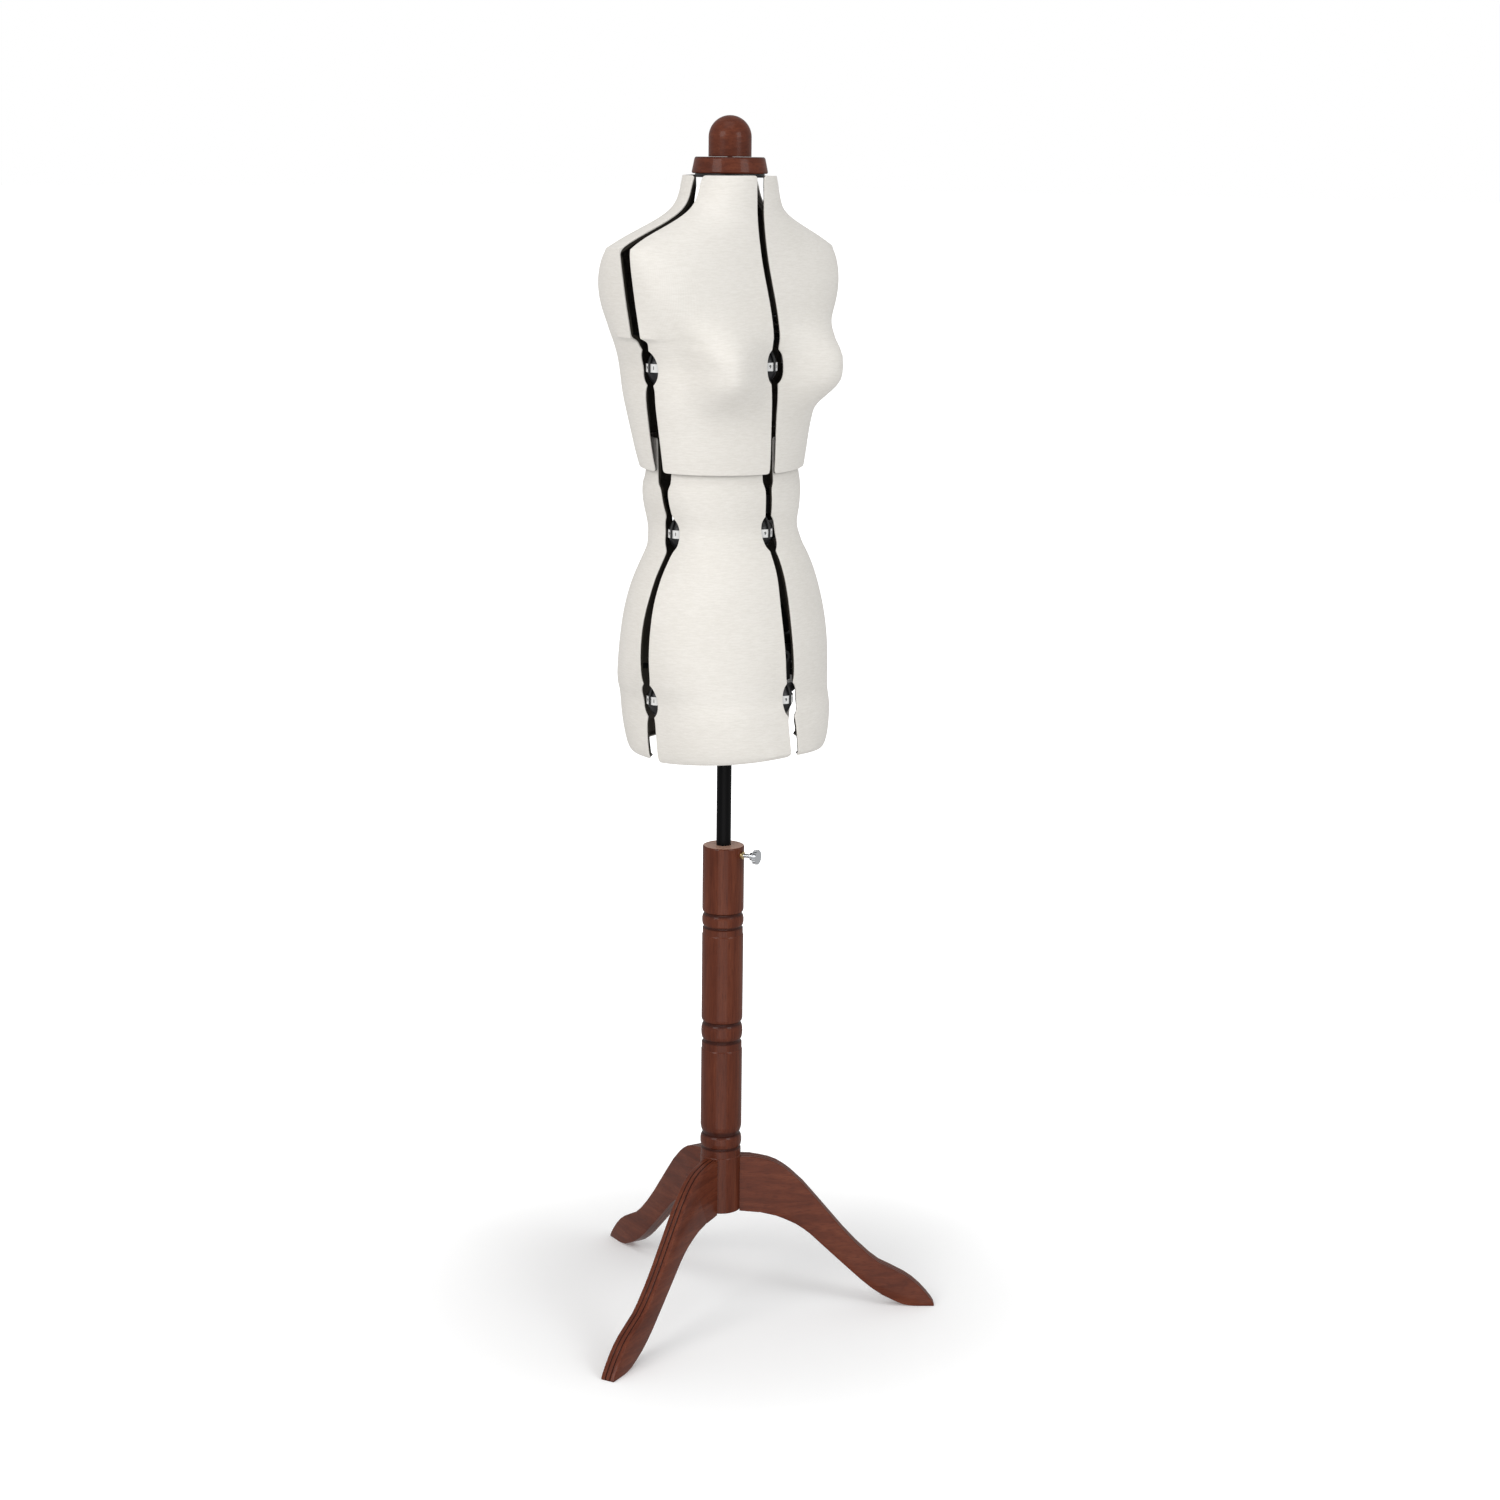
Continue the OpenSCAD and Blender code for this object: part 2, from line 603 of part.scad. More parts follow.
panel_bars(1, 1, false);  // lower_back_left_bars
upper_carriage(0);  // upper_front_carriage
upper_carriage(1);  // upper_left_carriage
upper_carriage(2);  // upper_back_carriage
upper_carriage(3);  // upper_right_carriage
lower_carriage(0);  // lower_front_carriage
lower_carriage(1);  // lower_left_carriage
lower_carriage(2);  // lower_back_carriage
lower_carriage(3);  // lower_right_carriage
dial(bust_z, 0);  // bust_front_dial
dial(bust_z, 1);  // bust_left_dial
dial(bust_z, 2);  // bust_back_dial
dial(bust_z, 3);  // bust_right_dial
dial(waist_z, 0);  // waist_front_dial
dial(waist_z, 1);  // waist_left_dial
dial(waist_z, 2);  // waist_back_dial
dial(waist_z, 3);  // waist_right_dial
dial(hip_z, 0);  // hip_front_dial
dial(hip_z, 1);  // hip_left_dial
dial(hip_z, 2);  // hip_back_dial
dial(hip_z, 3);  // hip_right_dial
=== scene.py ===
# %% [markdown]
# # A dressmaker's form on a wooden stand
# The form is eight jersey-covered panels round a sliding frame, with a number dial in each gap,
# a wooden disc and a ball knob at the neck, a black mast, a turned column and three carved legs.
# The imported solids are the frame: they give every size and every place. The looks are added here.

import json
import math

import bpy
from mathutils import Matrix, Vector


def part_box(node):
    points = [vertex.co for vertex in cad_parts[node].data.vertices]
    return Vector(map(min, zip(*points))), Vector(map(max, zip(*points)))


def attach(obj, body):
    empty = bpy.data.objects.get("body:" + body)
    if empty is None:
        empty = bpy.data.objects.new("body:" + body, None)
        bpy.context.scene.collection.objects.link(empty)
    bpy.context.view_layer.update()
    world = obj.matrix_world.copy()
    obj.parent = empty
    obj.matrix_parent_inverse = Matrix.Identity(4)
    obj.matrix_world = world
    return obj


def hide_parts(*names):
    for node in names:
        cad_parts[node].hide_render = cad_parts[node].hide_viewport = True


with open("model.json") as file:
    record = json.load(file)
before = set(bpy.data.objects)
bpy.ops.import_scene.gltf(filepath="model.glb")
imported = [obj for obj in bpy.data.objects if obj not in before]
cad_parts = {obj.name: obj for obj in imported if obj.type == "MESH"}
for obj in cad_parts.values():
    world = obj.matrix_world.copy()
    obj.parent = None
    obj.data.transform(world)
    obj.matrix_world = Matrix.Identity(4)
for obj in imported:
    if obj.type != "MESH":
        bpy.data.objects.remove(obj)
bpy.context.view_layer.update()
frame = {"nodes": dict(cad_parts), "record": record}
nodes = frame["nodes"]
MM = 0.001
WELD_WITHIN = 0.03 * MM

# %% [markdown]
# ## Working by hand, in code
# Each step of modelling acts on what is selected. So every step starts with nothing selected and
# names the one piece that it works on, and faces are picked by where they are or how they face.

# %% Picking a piece and its points


def only(piece):
    """Makes this the one selected, active piece."""
    if bpy.context.object and bpy.context.object.mode != "OBJECT":
        bpy.ops.object.mode_set(mode="OBJECT")
    bpy.ops.object.select_all(action="DESELECT")
    piece.select_set(True)
    bpy.context.view_layer.objects.active = piece
    return piece


def edit(piece, mode="FACE", pick=None):
    """Opens the piece for editing with only the picked faces, edges or points selected."""
    only(piece)
    bpy.ops.object.mode_set(mode="EDIT")
    bpy.ops.mesh.select_mode(type=mode)
    bpy.ops.mesh.select_all(action="SELECT" if pick is None else "DESELECT")
    if pick is None:
        return
    bpy.ops.object.mode_set(mode="OBJECT")
    mesh = piece.data
    parts = {"FACE": mesh.polygons, "EDGE": mesh.edges, "VERT": mesh.vertices}[mode]
    for part in parts:
        part.select = bool(pick(part))
    bpy.ops.object.mode_set(mode="EDIT")


def done():
    """Closes the piece again after an edit."""
    bpy.ops.object.mode_set(mode="OBJECT")


def finish_with(piece, kind, **settings):
    """Adds one modifier with these settings and applies it."""
    only(piece)
    modifier = piece.modifiers.new(kind.title(), kind)
    for name, value in settings.items():
        setattr(modifier, name, value)
    bpy.ops.object.modifier_apply(modifier=modifier.name)


def smooth(piece, degrees):
    """Shades the piece smooth, but leaves edges sharper than this many degrees crisp."""
    only(piece)
    bpy.ops.object.shade_smooth_by_angle(angle=math.radians(degrees))


def copy_of_node(node, name):
    """A free copy of a frame node with its loose triangles merged into one skin."""
    piece = bpy.data.objects.new(name, nodes[node].data.copy())
    bpy.context.scene.collection.objects.link(piece)
    edit(piece, "VERT")
    bpy.ops.mesh.remove_doubles(threshold=WELD_WITHIN)
    bpy.ops.mesh.customdata_custom_splitnormals_clear()
    done()
    piece.data.materials.clear()
    return piece


print("helpers ready")

# %% [markdown]
# ## The camera
# It stands off the form's right front at head height with a long lens, and tips down far enough to
# take in the feet. It leans a fraction of a degree, as a camera on a hand-set tripod does.

# %% Camera
TURN, SWING = math.radians(46), math.radians(0.522)
TIP_DOWN, LEAN = math.radians(11.709), math.radians(0.64)
CAMERA_AWAY, CAMERA_HEIGHT = 3.5954, 1.500
CAMERA_LENS, CAMERA_FILM = 68.75, 36

heading = TURN + SWING
ahead = Vector((math.sin(heading), math.cos(heading), -math.tan(TIP_DOWN))).normalized()
level = Vector((math.cos(heading), -math.sin(heading), 0))
over = level.cross(ahead)
across = level * math.cos(LEAN) + over * math.sin(LEAN)
upward = over * math.cos(LEAN) - level * math.sin(LEAN)
stand_at = (-CAMERA_AWAY * math.sin(TURN), -CAMERA_AWAY * math.cos(TURN), CAMERA_HEIGHT)
bpy.ops.object.camera_add(location=stand_at)
camera = bpy.context.object
camera.rotation_euler = Matrix((across, upward, -ahead)).transposed().to_euler()
camera.data.lens = CAMERA_LENS
camera.data.sensor_width = CAMERA_FILM
bpy.context.scene.camera = camera
print("camera at", [round(v, 3) for v in stand_at])

# %% [markdown]
# ## Writing a finish
# A finish is a Principled shader whose colour, roughness and small relief vary over the surface.
# Its sums are easier to read as sums, so one small class wraps a node's output and turns
# `+ - * /` into Math nodes. Everything else goes through one method that adds any node.

# %% Shader arithmetic


class Wire:
    """One number coming out of a node. Arithmetic on it adds Math nodes."""

    def __init__(self, finish, socket):
        self.finish, self.socket = finish, socket

    def math(self, operation, *others):
        """Any one of the Math node's operations."""
        sockets = dict(enumerate((self,) + others))
        return self.finish.node("ShaderNodeMath", {"operation": operation}, sockets)

    def __add__(self, other):
        return self.math("ADD", other)

    def __sub__(self, other):
        return self.math("SUBTRACT", other)

    def __mul__(self, other):
        return self.math("MULTIPLY", other)

    def __truediv__(self, other):
        return self.math("DIVIDE", other)

    def __radd__(self, other):
        return self + other

    def __rsub__(self, other):
        settings = {"operation": "SUBTRACT"}
        return self.finish.node("ShaderNodeMath", settings, {0: other, 1: self})

    def __abs__(self):
        return self.math("ABSOLUTE")

    def between(self, low, high):
        """0 below low, 1 above high, and a smooth step from one to the other."""
        settings = {"interpolation_type": "SMOOTHSTEP"}
        sockets = {0: self, 1: low, 2: high, 3: 0.0, 4: 1.0}
        return self.finish.node("ShaderNodeMapRange", settings, sockets)


class Finish:
    """A material built from a Principled shader; `node` adds any node and wires it up."""

    def __init__(self, name, color=(0.5, 0.5, 0.5), **constants):
        self.material = bpy.data.materials.new(name)
        self.material.use_nodes = True
        self.material.diffuse_color = (*color, 1)
        self.tree = self.material.node_tree
        self.shader = self.tree.nodes["Principled BSDF"]
        self.shader.inputs["Base Color"].default_value = (*color, 1)
        for name, value in constants.items():
            self.shader.inputs[self.label(name)].default_value = value

    @staticmethod
    def label(name):
        """The socket's label for a keyword: base_color is Base Color."""
        return name.replace("_", " ").title().replace("Ior", "IOR")

    def node(self, kind, settings=None, sockets=None, out=0):
        """Adds a node, sets its settings and sockets, and returns one of its outputs."""
        made = self.tree.nodes.new(kind)
        for name, value in (settings or {}).items():
            if name == "stops":
                ramp = made.color_ramp.elements
                while len(ramp) < len(value):
                    ramp.new(1.0)
                for stop, (place, color) in zip(ramp, value):
                    stop.position, stop.color = place, (*color, 1)
            else:
                setattr(made, name, value)
        for name, value in (sockets or {}).items():
            self.feed(made.inputs[name], value)
        return Wire(self, made.outputs[out])

    def feed(self, socket, value):
        """Joins a socket to another node's output, or gives it a constant."""
        if isinstance(value, Wire):
            self.tree.links.new(value.socket, socket)
        else:
            socket.default_value = value

    def set(self, **channels):
        """Sets the shader's own sockets by name."""
        for name, value in channels.items():
            self.feed(self.shader.inputs[self.label(name)], value)

    def place(self):
        """The point on the piece, in metres, as a vector."""
        return self.node("ShaderNodeTexCoord", out="Object")

    def xyz(self, point):
        """The three parts of a vector."""
        made = self.node("ShaderNodeSeparateXYZ", sockets={0: point})
        return [Wire(self, output) for output in made.socket.node.outputs]

    def turned(self, point, scale=(1, 1, 1), degrees=0.0):
        """The point turned about the upright axis, then scaled along its new axes."""
        sockets = {"Vector": point, "Rotation": (0, 0, -math.radians(degrees))}
        turned = self.node("ShaderNodeMapping", {"vector_type": "POINT"}, sockets)
        sockets = {"Vector": turned, "Scale": scale}
        return self.node("ShaderNodeMapping", {"vector_type": "POINT"}, sockets)

    def noise(self, point, size, detail=3.0, rough=0.55, distort=0.0):
        """Cloudy noise from 0 to 1 whose spots are about `size` metres across."""
        sockets = {"Vector": point, "Scale": 1 / size, "Detail": detail}
        sockets.update({"Roughness": rough, "Distortion": distort})
        return self.node("ShaderNodeTexNoise", sockets=sockets)

    def mix(self, share, first, second):
        """The first colour where share is 0, and the second where it is 1."""
        settings = {"data_type": "RGBA"}
        first, second = ((*c, 1) if isinstance(c, tuple) else c for c in (first, second))
        return self.node("ShaderNodeMix", settings, {0: share, 6: first, 7: second}, out=2)

    def relief(self, height, depth, strength=1.0):
        """Small relief; `depth` is how deep the height's full range is, in metres."""
        sockets = {"Height": height, "Distance": depth, "Strength": strength}
        self.set(normal=self.node("ShaderNodeBump", sockets=sockets))


def wear(finish_, names):
    """Puts a finish on frame nodes, each on its own mesh's slots."""
    for name in names:
        mesh = nodes[name].data
        mesh.materials.clear()
        mesh.materials.append(finish_.material)


print("shader helpers ready")

# %% [markdown]
# ## Jersey
# The cover is a fine off-white jersey laminated to thin foam. It has faint cross ribs, slubs a few
# millimetres long that lie level round the body, and a soft bloom at glancing angles. The ribs
# run level, so their height comes from z, and the wales across them from the angle round the axis.

# %% Jersey finish
RIB_PITCH, WALE_PITCH, GIRTH_RADIUS = 1.5 * MM, 1.3 * MM, 120 * MM


def jersey_finish():
    f = Finish("off_white_jersey", (0.79, 0.755, 0.69), roughness=0.92, sheen_weight=0.25,
               sheen_roughness=0.5, specular_ior_level=0.25)
    point = f.place()
    x, y, z = f.xyz(point)
    slubs = f.noise(f.turned(point, (1, 1, 6)), 11 * MM, detail=2)
    threads = f.noise(f.turned(point, (1, 1, 3.5)), 3.2 * MM, detail=1)
    clouds = f.noise(point, 90 * MM, detail=2)
    ribs = (z / RIB_PITCH * math.tau + threads * 3).math("SINE") * 0.5 + 0.5
    round_axis = y.math("ARCTAN2", x) * GIRTH_RADIUS
    wales = (round_axis / WALE_PITCH * math.tau).math("SINE") * 0.5 + 0.5
    light, shade = (0.80, 0.772, 0.725), (0.73, 0.70, 0.648)
    tone = slubs * 0.5 + threads * 0.25 + clouds * 0.25
    tint = f.mix(tone.between(0.32, 0.68), shade, light)
    f.set(base_color=f.mix(ribs * wales * 0.2, tint, (0.66, 0.632, 0.585)))
    f.relief(ribs * 0.45 + wales * 0.25 + slubs * 0.6, 0.35 * MM, 0.55)
    f.set(roughness=0.86 + threads * 0.1)
    return f


jersey = jersey_finish()
print("jersey ready")

# %% [markdown]
# ## Covers
# Each panel's cover is stretched over a moulded shell and rolled round its edge. The frame's cover
# solid has the true outer surface as a coarse grid. A copy of it is turned back into quads, its
# corners and rims are rounded, and subdivision makes the skin smooth. Modelling it from a
# primitive would mean finding the body's curves a second time, so the copy is the better start.
# A cover has two faces of cloth and a thin rim, so a little under half its area is the cut piece's,
# and the cut piece is a quarter wider at its widest than on average.

# %% Covers
CORNER_ROUND, RIM_ROUND = 4 * MM, 1.0 * MM
SHARP, FLAT_ENOUGH = math.radians(45), math.radians(60)
COVERS = [name for name in nodes if name.endswith("_cover")]


def corner_edges(cover):
    """The short edges through the thickness at a panel's four corners: three lines meet there."""
    meeting = [0] * len(cover.data.vertices)
    for line in cover.data.edges:
        for i in line.vertices:
            meeting[i] += 1
    return lambda line: all(meeting[i] == 3 for i in line.vertices)


def jersey_cover(node):
    """The node's skin in quads, rounded at its corners and rims, and made smooth."""
    cover = copy_of_node(node, "jersey_" + node.replace("_cover", ""))
    edit(cover)
    bpy.ops.mesh.tris_convert_to_quads(face_threshold=FLAT_ENOUGH, shape_threshold=math.pi)
    done()
    edit(cover, "EDGE", corner_edges(cover))
    bpy.ops.mesh.bevel(offset=CORNER_ROUND, segments=3, affect="EDGES", clamp_overlap=True)
    done()
    edit(cover, "EDGE", lambda line: False)
    bpy.ops.mesh.edges_select_sharp(sharpness=SHARP)
    bpy.ops.mesh.bevel(offset=RIM_ROUND, segments=2, affect="EDGES", clamp_overlap=True)
    done()
    finish_with(cover, "SUBSURF", levels=2, render_levels=2)
    only(cover)
    bpy.ops.object.shade_smooth()
    cover.data.materials.append(jersey.material)
    return cover


for node in COVERS:
    cover = jersey_cover(node)
    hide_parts(node)
    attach(cover, node.replace("_cover", "_panel"))

# %% [markdown]
# ## Stained wood
# Column, legs, disc and knob are close-grained hardwood with a red-brown stain under a thin
# lacquer. The grain is noise stretched along the length of the timber. The grooves and the seam
# under the knob are painted darker, as painted shade, and the column's top is painted paler,
# partly as end grain and partly as painted light from above.

# %% Wood finish
# A dark colour painted into grooves and the seam under the knob: painted shade.
GROOVE_PAINTED_SHADE = (0.030, 0.008, 0.006)


def wood_finish(name, along=(1, 1, 0.06), degrees=0.0, dark=1.0):
    """Stained wood with its grain along the axis whose scale is small; returns it unfinished."""
    f = Finish(name, (0.12, 0.03, 0.015), roughness=0.4, specular_ior_level=0.1,
               coat_weight=0.15, coat_roughness=0.12)
    point = f.place()
    grain_point = f.turned(point, along, degrees)
    figure = f.noise(grain_point, 9 * MM, detail=4, distort=1.2)
    pores = f.noise(grain_point, 1.1 * MM, detail=2)
    clouds = f.noise(f.turned(point, (1, 1, 0.5), degrees), 45 * MM)
    deep = tuple(v * dark for v in (0.058, 0.0125, 0.0062))
    middle = tuple(v * dark for v in (0.112, 0.027, 0.0125))
    light = tuple(v * dark for v in (0.17, 0.048, 0.022))
    stops = {"stops": [(0.25, deep), (0.5, middle), (0.78, light)]}
    tone = figure * 0.62 + clouds * 0.38
    stained = f.node("ShaderNodeValToRGB", stops, {0: tone})
    streaks = (1 - pores.between(0.3, 0.52)) * 0.55
    stained = f.mix(streaks, stained, deep)
    f.set(roughness=0.36 + pores * 0.14)
    f.relief(pores * 0.5 + figure * 0.5, 0.12 * MM, 0.35)
    return f, point, stained


def column_finish():
    """Stained wood with painted shade in its grooves, and its top painted paler, partly as end grain
    and partly as painted light from above.
    """
    f, point, stained = wood_finish("column_stained_wood")
    x, y, z = f.xyz(point)
    low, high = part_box("column")
    radius = (x * x + y * y).math("SQRT")
    full = (high.x - low.x) / 2
    # The grooves are painted darker: painted shade.
    groove = 1 - radius.between(full - 2.4 * MM, full - 0.4 * MM)
    body = 1 - z.between(high.z - 0.5 * MM, high.z - 0.2 * MM)
    stained = f.mix(groove * body * 0.8, stained, GROOVE_PAINTED_SHADE)
    # The top is painted paler: partly end grain, partly painted light from above.
    rings = f.noise(f.turned(point, (1, 1, 0.02)), 2.2 * MM, detail=3)
    end_grain_and_painted_light = f.mix(rings, (0.44, 0.235, 0.165), (0.64, 0.39, 0.29))
    f.set(base_color=f.mix(body, end_grain_and_painted_light, stained))
    return f


def cap_finish():
    """Stained wood, with painted shade in the seam between the disc and the knob."""
    f, point, stained = wood_finish("cap_stained_wood", (0.35, 0.35, 1.4), dark=1.05)
    z = f.xyz(point)[2]
    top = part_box("neck_disc")[1].z
    above = z.between(top + 0.2 * MM, top + 2.5 * MM)
    # The seam under the knob is painted darker: painted shade.
    seam = (1 - above) * z.between(top - 3 * MM, top)
    f.set(base_color=f.mix(seam * 0.7, stained, GROOVE_PAINTED_SHADE))
    return f


wear(column_finish(), ["column"])
wear(cap_finish(), ["neck_disc", "neck_knob"])
print("column, disc and knob stained")

# %% [markdown]
# ## Legs
# Each leg is sawn from a board, with two grooves run along its outer edge so that three beads
# show, right down to the toe. The frame's leg has the outline. A copy is cut by planes parallel
# to its faces, the cuts on the outer edge are pushed in to make the grooves, and the long
# edges are rounded.

# %% Legs
GROOVE_AT, GROOVE_HALF, GROOVE_DEEP = 3.2 * MM, 1.1 * MM, 1.3 * MM
LEG_HALF, LEG_EDGE_ROUND, LEG_SMOOTH, LEG_SHARP = 9.5 * MM, 1.9 * MM, 32, 60
OUTER_EDGE_TILT = (0.45, 0.89)


def leg_directions(number):
    """Outward and sideways directions of a leg."""
    mount = next(m for m in frame["record"]["mounts"] if m["name"] == f"foot_{number}")
    out = Vector((mount["pos_m"][0], mount["pos_m"][1], 0)).normalized()
    return out, Vector((-out.y, out.x, 0))


def carved_leg(number):
    """The node's leg with two grooves along its outer edge and its long edges rounded."""
    leg = copy_of_node(f"leg_{number}", f"carved_leg_{number}")
    out, sideways = leg_directions(number)
    root = (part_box("column")[1].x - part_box("column")[0].x) / 2
    for side in (-1, 1):
        for shift in (-GROOVE_HALF, 0, GROOVE_HALF):
            edit(leg)
            at = sideways * (side * GROOVE_AT + shift)
            bpy.ops.mesh.bisect(plane_co=at, plane_no=sideways)
            done()
    rise = out * OUTER_EDGE_TILT[0] + Vector((0, 0, OUTER_EDGE_TILT[1]))

    def groove_floor(point):
        """On the middle cut of a groove, on the upper side and clear of the root."""
        off = abs(abs(point.co.dot(sideways)) - GROOVE_AT) < 0.1 * MM
        return off and point.normal.dot(rise) > 0.2 and point.co.dot(out) > root + 0.5 * MM

    edit(leg, "VERT", groove_floor)
    bpy.ops.transform.shrink_fatten(value=-GROOVE_DEEP)
    done()

    def long_edge(line):
        """A sharp edge along one of the leg's two flat faces."""
        a, b = (leg.data.vertices[i] for i in line.vertices)
        on_side = all(abs(abs(p.co.dot(sideways)) - LEG_HALF) < 0.05 * MM for p in (a, b))
        outside = all(p.co.dot(out) > root + 0.6 * MM for p in (a, b))
        return on_side and outside and line.index in sharp

    edit(leg, "EDGE", lambda line: False)
    bpy.ops.mesh.edges_select_sharp(sharpness=math.radians(LEG_SHARP))
    done()
    sharp = {line.index for line in leg.data.edges if line.select}
    edit(leg, "EDGE", long_edge)
    bpy.ops.mesh.bevel(offset=LEG_EDGE_ROUND, segments=3, affect="EDGES", clamp_overlap=True)
    done()
    smooth(leg, LEG_SMOOTH)
    return leg


def leg_finish(number):
    """Stained wood with its grain along the leg, and painted shade in the grooves."""
    out = leg_directions(number)[0]
    degrees = math.degrees(math.atan2(out.y, out.x))
    name = f"leg_stained_wood_{number}"
    f, point, stained = wood_finish(name, (0.10, 1.4, 0.8), degrees, dark=1.1)
    across_leg = f.xyz(f.turned(point, (1, 1, 1), degrees))[1]
    gap = abs(abs(across_leg) - GROOVE_AT)
    # The grooves are painted darker: painted shade.
    groove = 1 - gap.between(0.2 * MM, 1.5 * MM)
    f.set(base_color=f.mix(groove * 0.8, stained, (0.022, 0.007, 0.006)))
    return f


for number in (1, 2, 3):
    leg = carved_leg(number)
    leg.data.materials.append(leg_finish(number).material)
    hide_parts(f"leg_{number}")
    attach(leg, "stand")
    print(leg.name, len(leg.data.polygons), "faces")

# %% [markdown]
# ## Metals and plastics
# The mast and the plate under the neck are powder-coated black. The shells are a dark brown-grey
# moulding, matt inside, and the sliding frame is black nylon. The screws are bright zinc.

# %% Metals and plastics


def plain_finish(name, color, rough, size, change=0.25, grain=0.05 * MM, **constants):
    """A solid colour with a fine moulded or coated grain and slow changes of tone."""
    f = Finish(name, color, roughness=rough, **constants)
    point = f.place()
    fine = f.noise(point, size, detail=2)
    slow = f.noise(point, 40 * MM, detail=3)
    low = tuple(v * (1 - change) for v in color)
    high = tuple(min(1, v * (1 + change)) for v in color)
    f.set(base_color=f.mix(fine * 0.35 + slow * 0.65, low, high))
    f.set(roughness=(rough - 0.06) + slow * 0.12)
    f.relief(fine, grain, 0.4)
    return f


def named(*endings):
    """The frame's nodes whose names end in one of these."""
    return [name for name in nodes if name.endswith(endings)]


coated = plain_finish("black_powder_coat", (0.003, 0.003, 0.0033), 0.4, 0.6 * MM, 0.3,
                      specular_ior_level=0.08)
black_steel = plain_finish("black_steel", (0.02, 0.02, 0.021), 0.4, 0.8 * MM)
moulding = plain_finish("brown_grey_shell", (0.050, 0.042, 0.031), 0.62, 1.2 * MM)
nylon = plain_finish("black_nylon", (0.014, 0.014, 0.015), 0.5, 0.9 * MM)
cast_zinc = plain_finish("cast_zinc", (0.22, 0.225, 0.23), 0.5, 1.5 * MM, metallic=1.0)
bright_zinc = plain_finish("bright_zinc", (0.62, 0.64, 0.66), 0.22, 0.5 * MM, 0.12, metallic=1.0)
brass = plain_finish("turned_brass", (0.55, 0.42, 0.2), 0.3, 0.5 * MM, metallic=1.0)
steel = plain_finish("plain_steel", (0.45, 0.45, 0.46), 0.35, 0.6 * MM, metallic=1.0)
wear(coated, ["mast_tube"])
wear(black_steel, ["neck_plate"])
wear(moulding, named("_shell"))
wear(nylon, named("_bars", "_carriage"))
wear(cast_zinc, named("_spider", "_collar"))
wear(bright_zinc, ["thumbscrew"])
wear(brass, ["insert_nut"])
wear(steel, ["leg_pins", "cap_screw"])
print("metals and plastics ready")

# %% [markdown]
# ## Dials
# A dial is a black thumbwheel with a white band printed with numbers. One finish does all twelve: a
# ring of white where the height is within the band of any of the three levels.

# %% Dial finish
BAND_HALF, DIAL_LOW = 5.2 * MM, 21 * MM
GIRTHS = ("bust", "waist", "hip")
LEVELS = {name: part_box(f"{name}_front_dial")[0].z + DIAL_LOW for name in GIRTHS}


def dial_finish():
    """Glossy black with a white band at each level."""
    f = Finish("dial_black_and_white", (0.02, 0.02, 0.022), roughness=0.32,
               specular_ior_level=0.35)
    point = f.place()
    z = f.xyz(point)[2]
    band = 0.0
    for level in LEVELS.values():
        off = abs(z - level)
        band = (1 - off.between(BAND_HALF - 0.25 * MM, BAND_HALF)) + band
    fine = f.noise(point, 0.7 * MM, detail=2)
    dust = f.noise(point, 6 * MM, detail=3)
    black = f.mix(dust, (0.006, 0.006, 0.007), (0.016, 0.016, 0.018))
    white = f.mix(dust, (0.70, 0.70, 0.69), (0.82, 0.82, 0.81))
    f.set(base_color=f.mix(band, black, white))
    f.set(roughness=0.28 + dust * 0.15)
    f.relief(fine, 0.05 * MM, 0.35)
    return f


wear(dial_finish(), named("_dial"))
print("dial bands at", {name: round(level, 4) for name, level in LEVELS.items()})

# %% [markdown]
# ## Numbers on the dials
# The numbers stand a hair proud of the band, as thick ink does. Each is made once as text and
# turned into a mesh, and every band gets its own copies, joined into one ring.

# %% Dial numbers
NUMBERS, NUMBER_TALL = range(1, 10), 5.6 * MM
NUMBER_THICK, NUMBER_BOLD, NUMBER_RAISED = 0.25 * MM, 0.16 * MM, 0.12 * MM
FIRST_NUMBER_AT = 20
SIDES = {"front": 0, "left": 90, "back": 180, "right": 270}
ink = plain_finish("dark_ink", (0.02, 0.02, 0.02), 0.6, 0.5 * MM)


def printed_number(value):
    """One number as a thin upright mesh that faces forward, with its middle at the origin."""
    bpy.ops.object.select_all(action="DESELECT")
    bpy.ops.object.text_add(location=(0, 0, 0))
    made = bpy.context.object
    made.data.body = str(value)
    made.data.size = NUMBER_TALL
    made.data.extrude = NUMBER_THICK
    made.data.offset = NUMBER_BOLD
    made.data.resolution_u = 3
    made.data.align_x, made.data.align_y = "CENTER", "CENTER"
    bpy.ops.object.convert(target="MESH")
    made.rotation_euler = (math.radians(90), 0, 0)
    bpy.ops.object.transform_apply(location=False, rotation=True, scale=False)
    made.data.materials.append(ink.material)
    return made


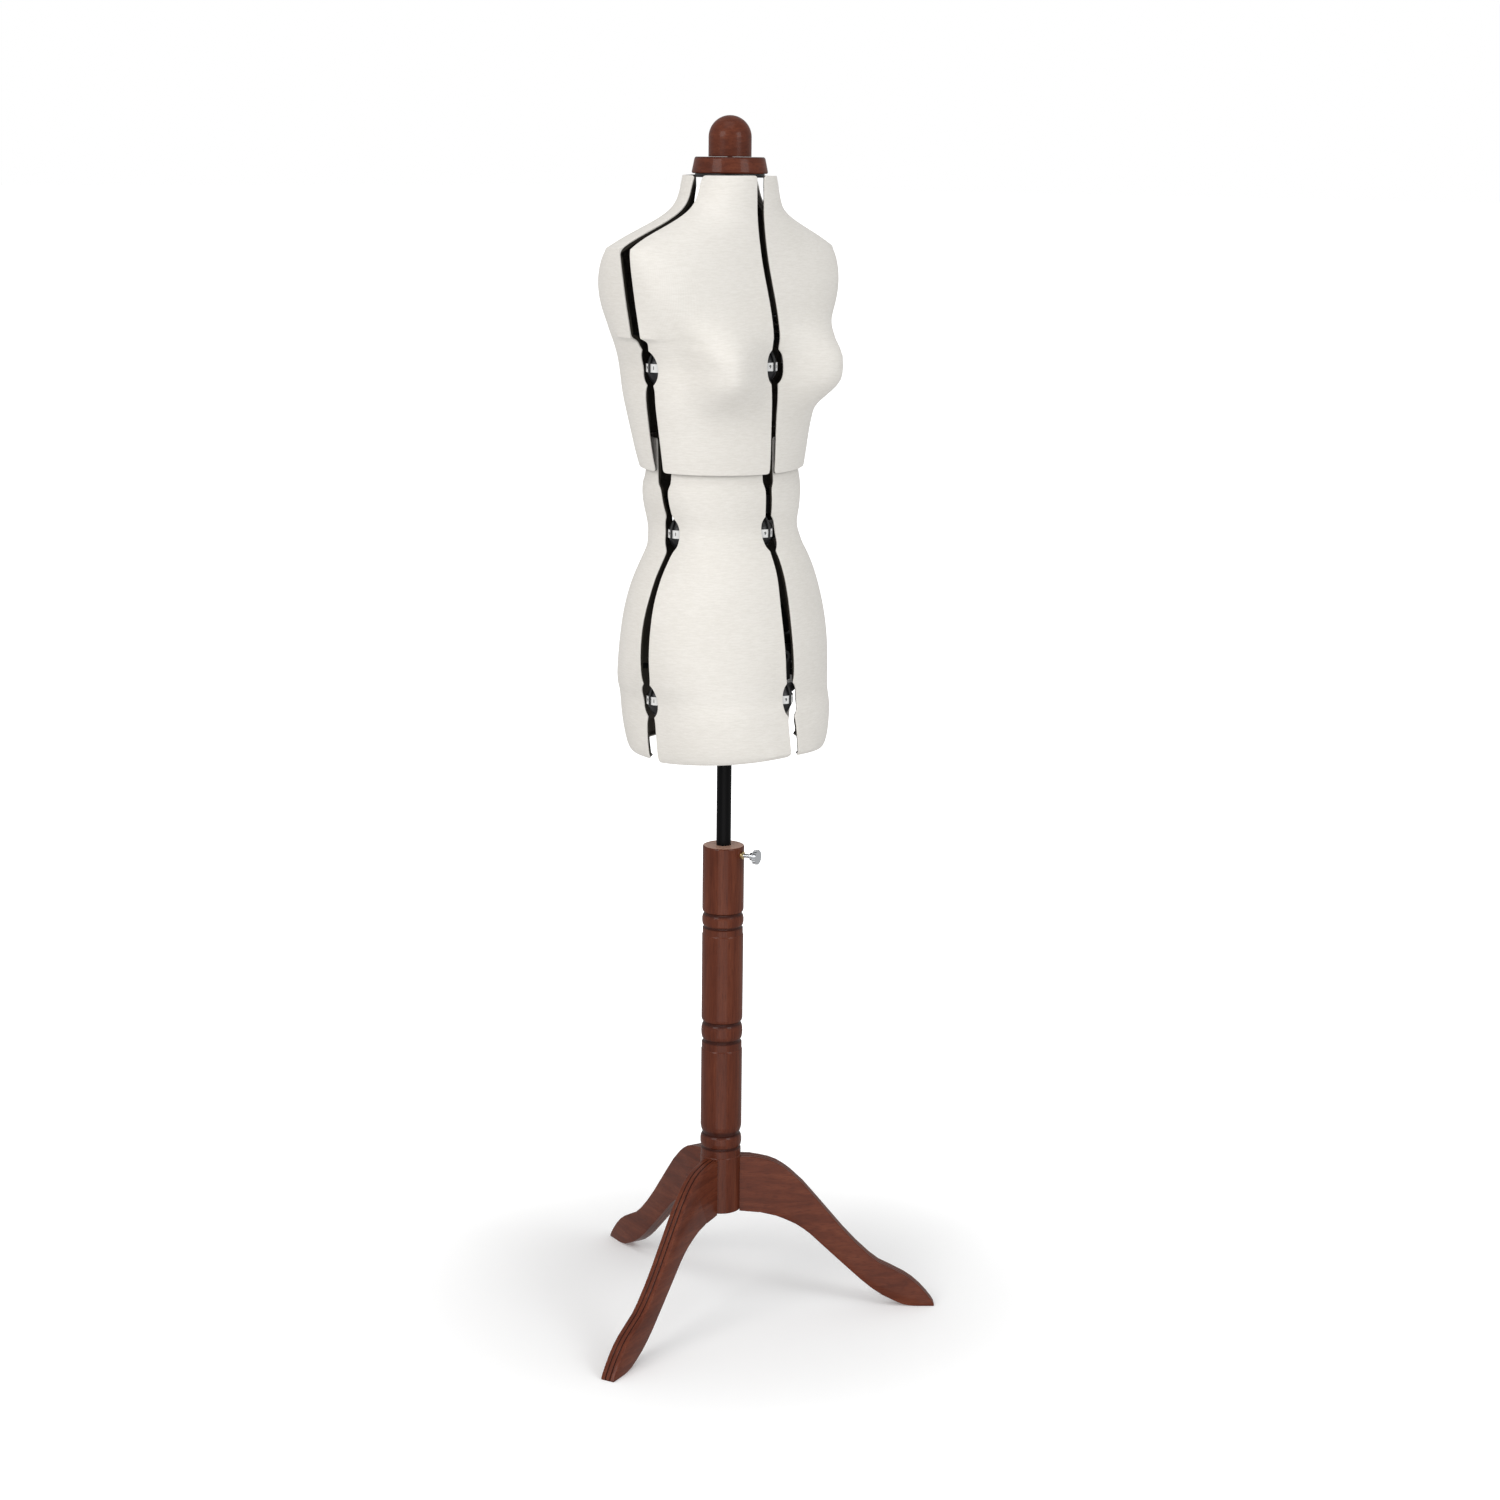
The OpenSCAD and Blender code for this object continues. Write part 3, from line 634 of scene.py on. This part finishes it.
def numbers_round(dial, patterns):
    """Copies of the numbers round one dial's band, joined into one piece."""
    level, side = dial.split("_")[:2]
    low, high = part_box(dial)
    middle = (low + high) / 2
    radius = (high.x - low.x) / 2 - NUMBER_THICK + NUMBER_RAISED
    copies = []
    for place, pattern in enumerate(patterns):
        turn = math.radians(SIDES[side] + FIRST_NUMBER_AT + place * 360 / len(patterns))
        copy = bpy.data.objects.new("number", pattern.data.copy())
        bpy.context.scene.collection.objects.link(copy)
        copy.rotation_euler = (0, 0, turn)
        out_from_axis = Vector((math.sin(turn), -math.cos(turn), 0)) * radius
        copy.location = Vector((middle.x, middle.y, LEVELS[level])) + out_from_axis
        copies.append(copy)
    bpy.ops.object.select_all(action="DESELECT")
    for copy in copies:
        copy.select_set(True)
    bpy.context.view_layer.objects.active = copies[0]
    bpy.ops.object.join()
    ring = bpy.context.object
    ring.name = dial + "_numbers"
    bpy.ops.object.transform_apply(location=True, rotation=True, scale=True)
    return ring


patterns = [printed_number(value) for value in NUMBERS]
for dial in named("_dial"):
    ring = numbers_round(dial, patterns)
    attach(ring, dial + "_wheel")
for pattern in patterns:
    bpy.data.objects.remove(pattern)
print(len(named("_dial")), "bands numbered 1 to", len(patterns))

# %% [markdown]
# ## The floor
# A white floor meets a white surround, as on a paper sweep. The floor glows a little by itself, most
# of all far away, so that it stays white under a light that is right for the jersey while the
# contact shadows under the feet still show. What the form reflects leaves it out: a weak light
# stands in for it below.

# %% Floor
FLOOR_SIZE, NEAR_GLOW, FAR_GLOW = 200.0, 0.12, 0.95
NEAR_RADIUS, FAR_RADIUS = 0.2, 1.1
bpy.ops.object.select_all(action="DESELECT")
bpy.ops.mesh.primitive_plane_add(size=FLOOR_SIZE, location=(0, 0, 0))
floor = bpy.context.object
floor.name = "floor"
floor_paint = Finish("white_paper", (0.9, 0.9, 0.9), roughness=0.95, specular_ior_level=0.0,
                     emission_strength=1.0)
floor_at = floor_paint.place()
speck = floor_paint.noise(floor_at, 0.4, detail=2)
x, y, z = floor_paint.xyz(floor_at)
far = (x * x + y * y).math("SQRT").between(NEAR_RADIUS, FAR_RADIUS)
glow = floor_paint.mix(far, (NEAR_GLOW,) * 3, (FAR_GLOW,) * 3)
paper = floor_paint.mix(speck, (0.89, 0.89, 0.89), (0.91, 0.91, 0.91))
floor_paint.set(base_color=paper, emission_color=glow)
floor.data.materials.append(floor_paint.material)
floor.visible_diffuse = floor.visible_glossy = False
print("floor ready")

# %% [markdown]
# ## The surround
# The surround is white to look at, but it gives the form only part of that light.

# %% Surround
SURROUND_LIGHT = 0.56
world = bpy.data.worlds.new("surround")
bpy.context.scene.world = world
world.use_nodes = True
tree = world.node_tree
background = tree.nodes["Background"]
background.inputs["Color"].default_value = (1, 1, 1, 1)
looked_at = tree.nodes.new("ShaderNodeLightPath")
brightness = tree.nodes.new("ShaderNodeMapRange")
brightness.inputs["To Min"].default_value = SURROUND_LIGHT
brightness.inputs["To Max"].default_value = 1.0
tree.links.new(looked_at.outputs["Is Camera Ray"], brightness.inputs["Value"])
tree.links.new(brightness.outputs["Result"], background.inputs["Strength"])
bpy.context.scene.view_settings.view_transform = "Standard"
print("surround gives", SURROUND_LIGHT, "of its light")

# %% [markdown]
# ## The lights
# A large soft light stands to the left of the camera, a cooler one to its right and a wide one
# overhead. A weak one low in front stands for the light thrown up by the floor.

# %% Lights
AIM_HEIGHT = 0.95


def soft_light(name, azimuth, height, distance, size, watts, color=(1, 1, 1)):
    """A square light that looks at the middle of the form; azimuth as the camera's is counted."""
    turn = math.radians(azimuth)
    at = Vector((distance * math.sin(turn), -distance * math.cos(turn), height))
    bpy.ops.object.light_add(type="AREA", location=at)
    light = bpy.context.object
    light.name = name
    light.data.size = size
    light.data.energy = watts
    light.data.color = color
    aim = Vector((0, 0, AIM_HEIGHT)) - at
    light.rotation_euler = aim.to_track_quat("-Z", "Y").to_euler()
    return light


soft_light("key_light", azimuth=-88, height=2.3, distance=3.0, size=1.5, watts=34.5,
           color=(1.0, 0.985, 0.975))
soft_light("fill_light", azimuth=2, height=2.2, distance=3.2, size=1.4, watts=29,
           color=(0.97, 0.99, 1.0))
soft_light("top_light", azimuth=-60, height=3.9, distance=1.0, size=2.0, watts=15.5)
soft_light("floor_bounce", azimuth=-46, height=0.05, distance=1.6, size=1.6, watts=12)
print("lights ready")
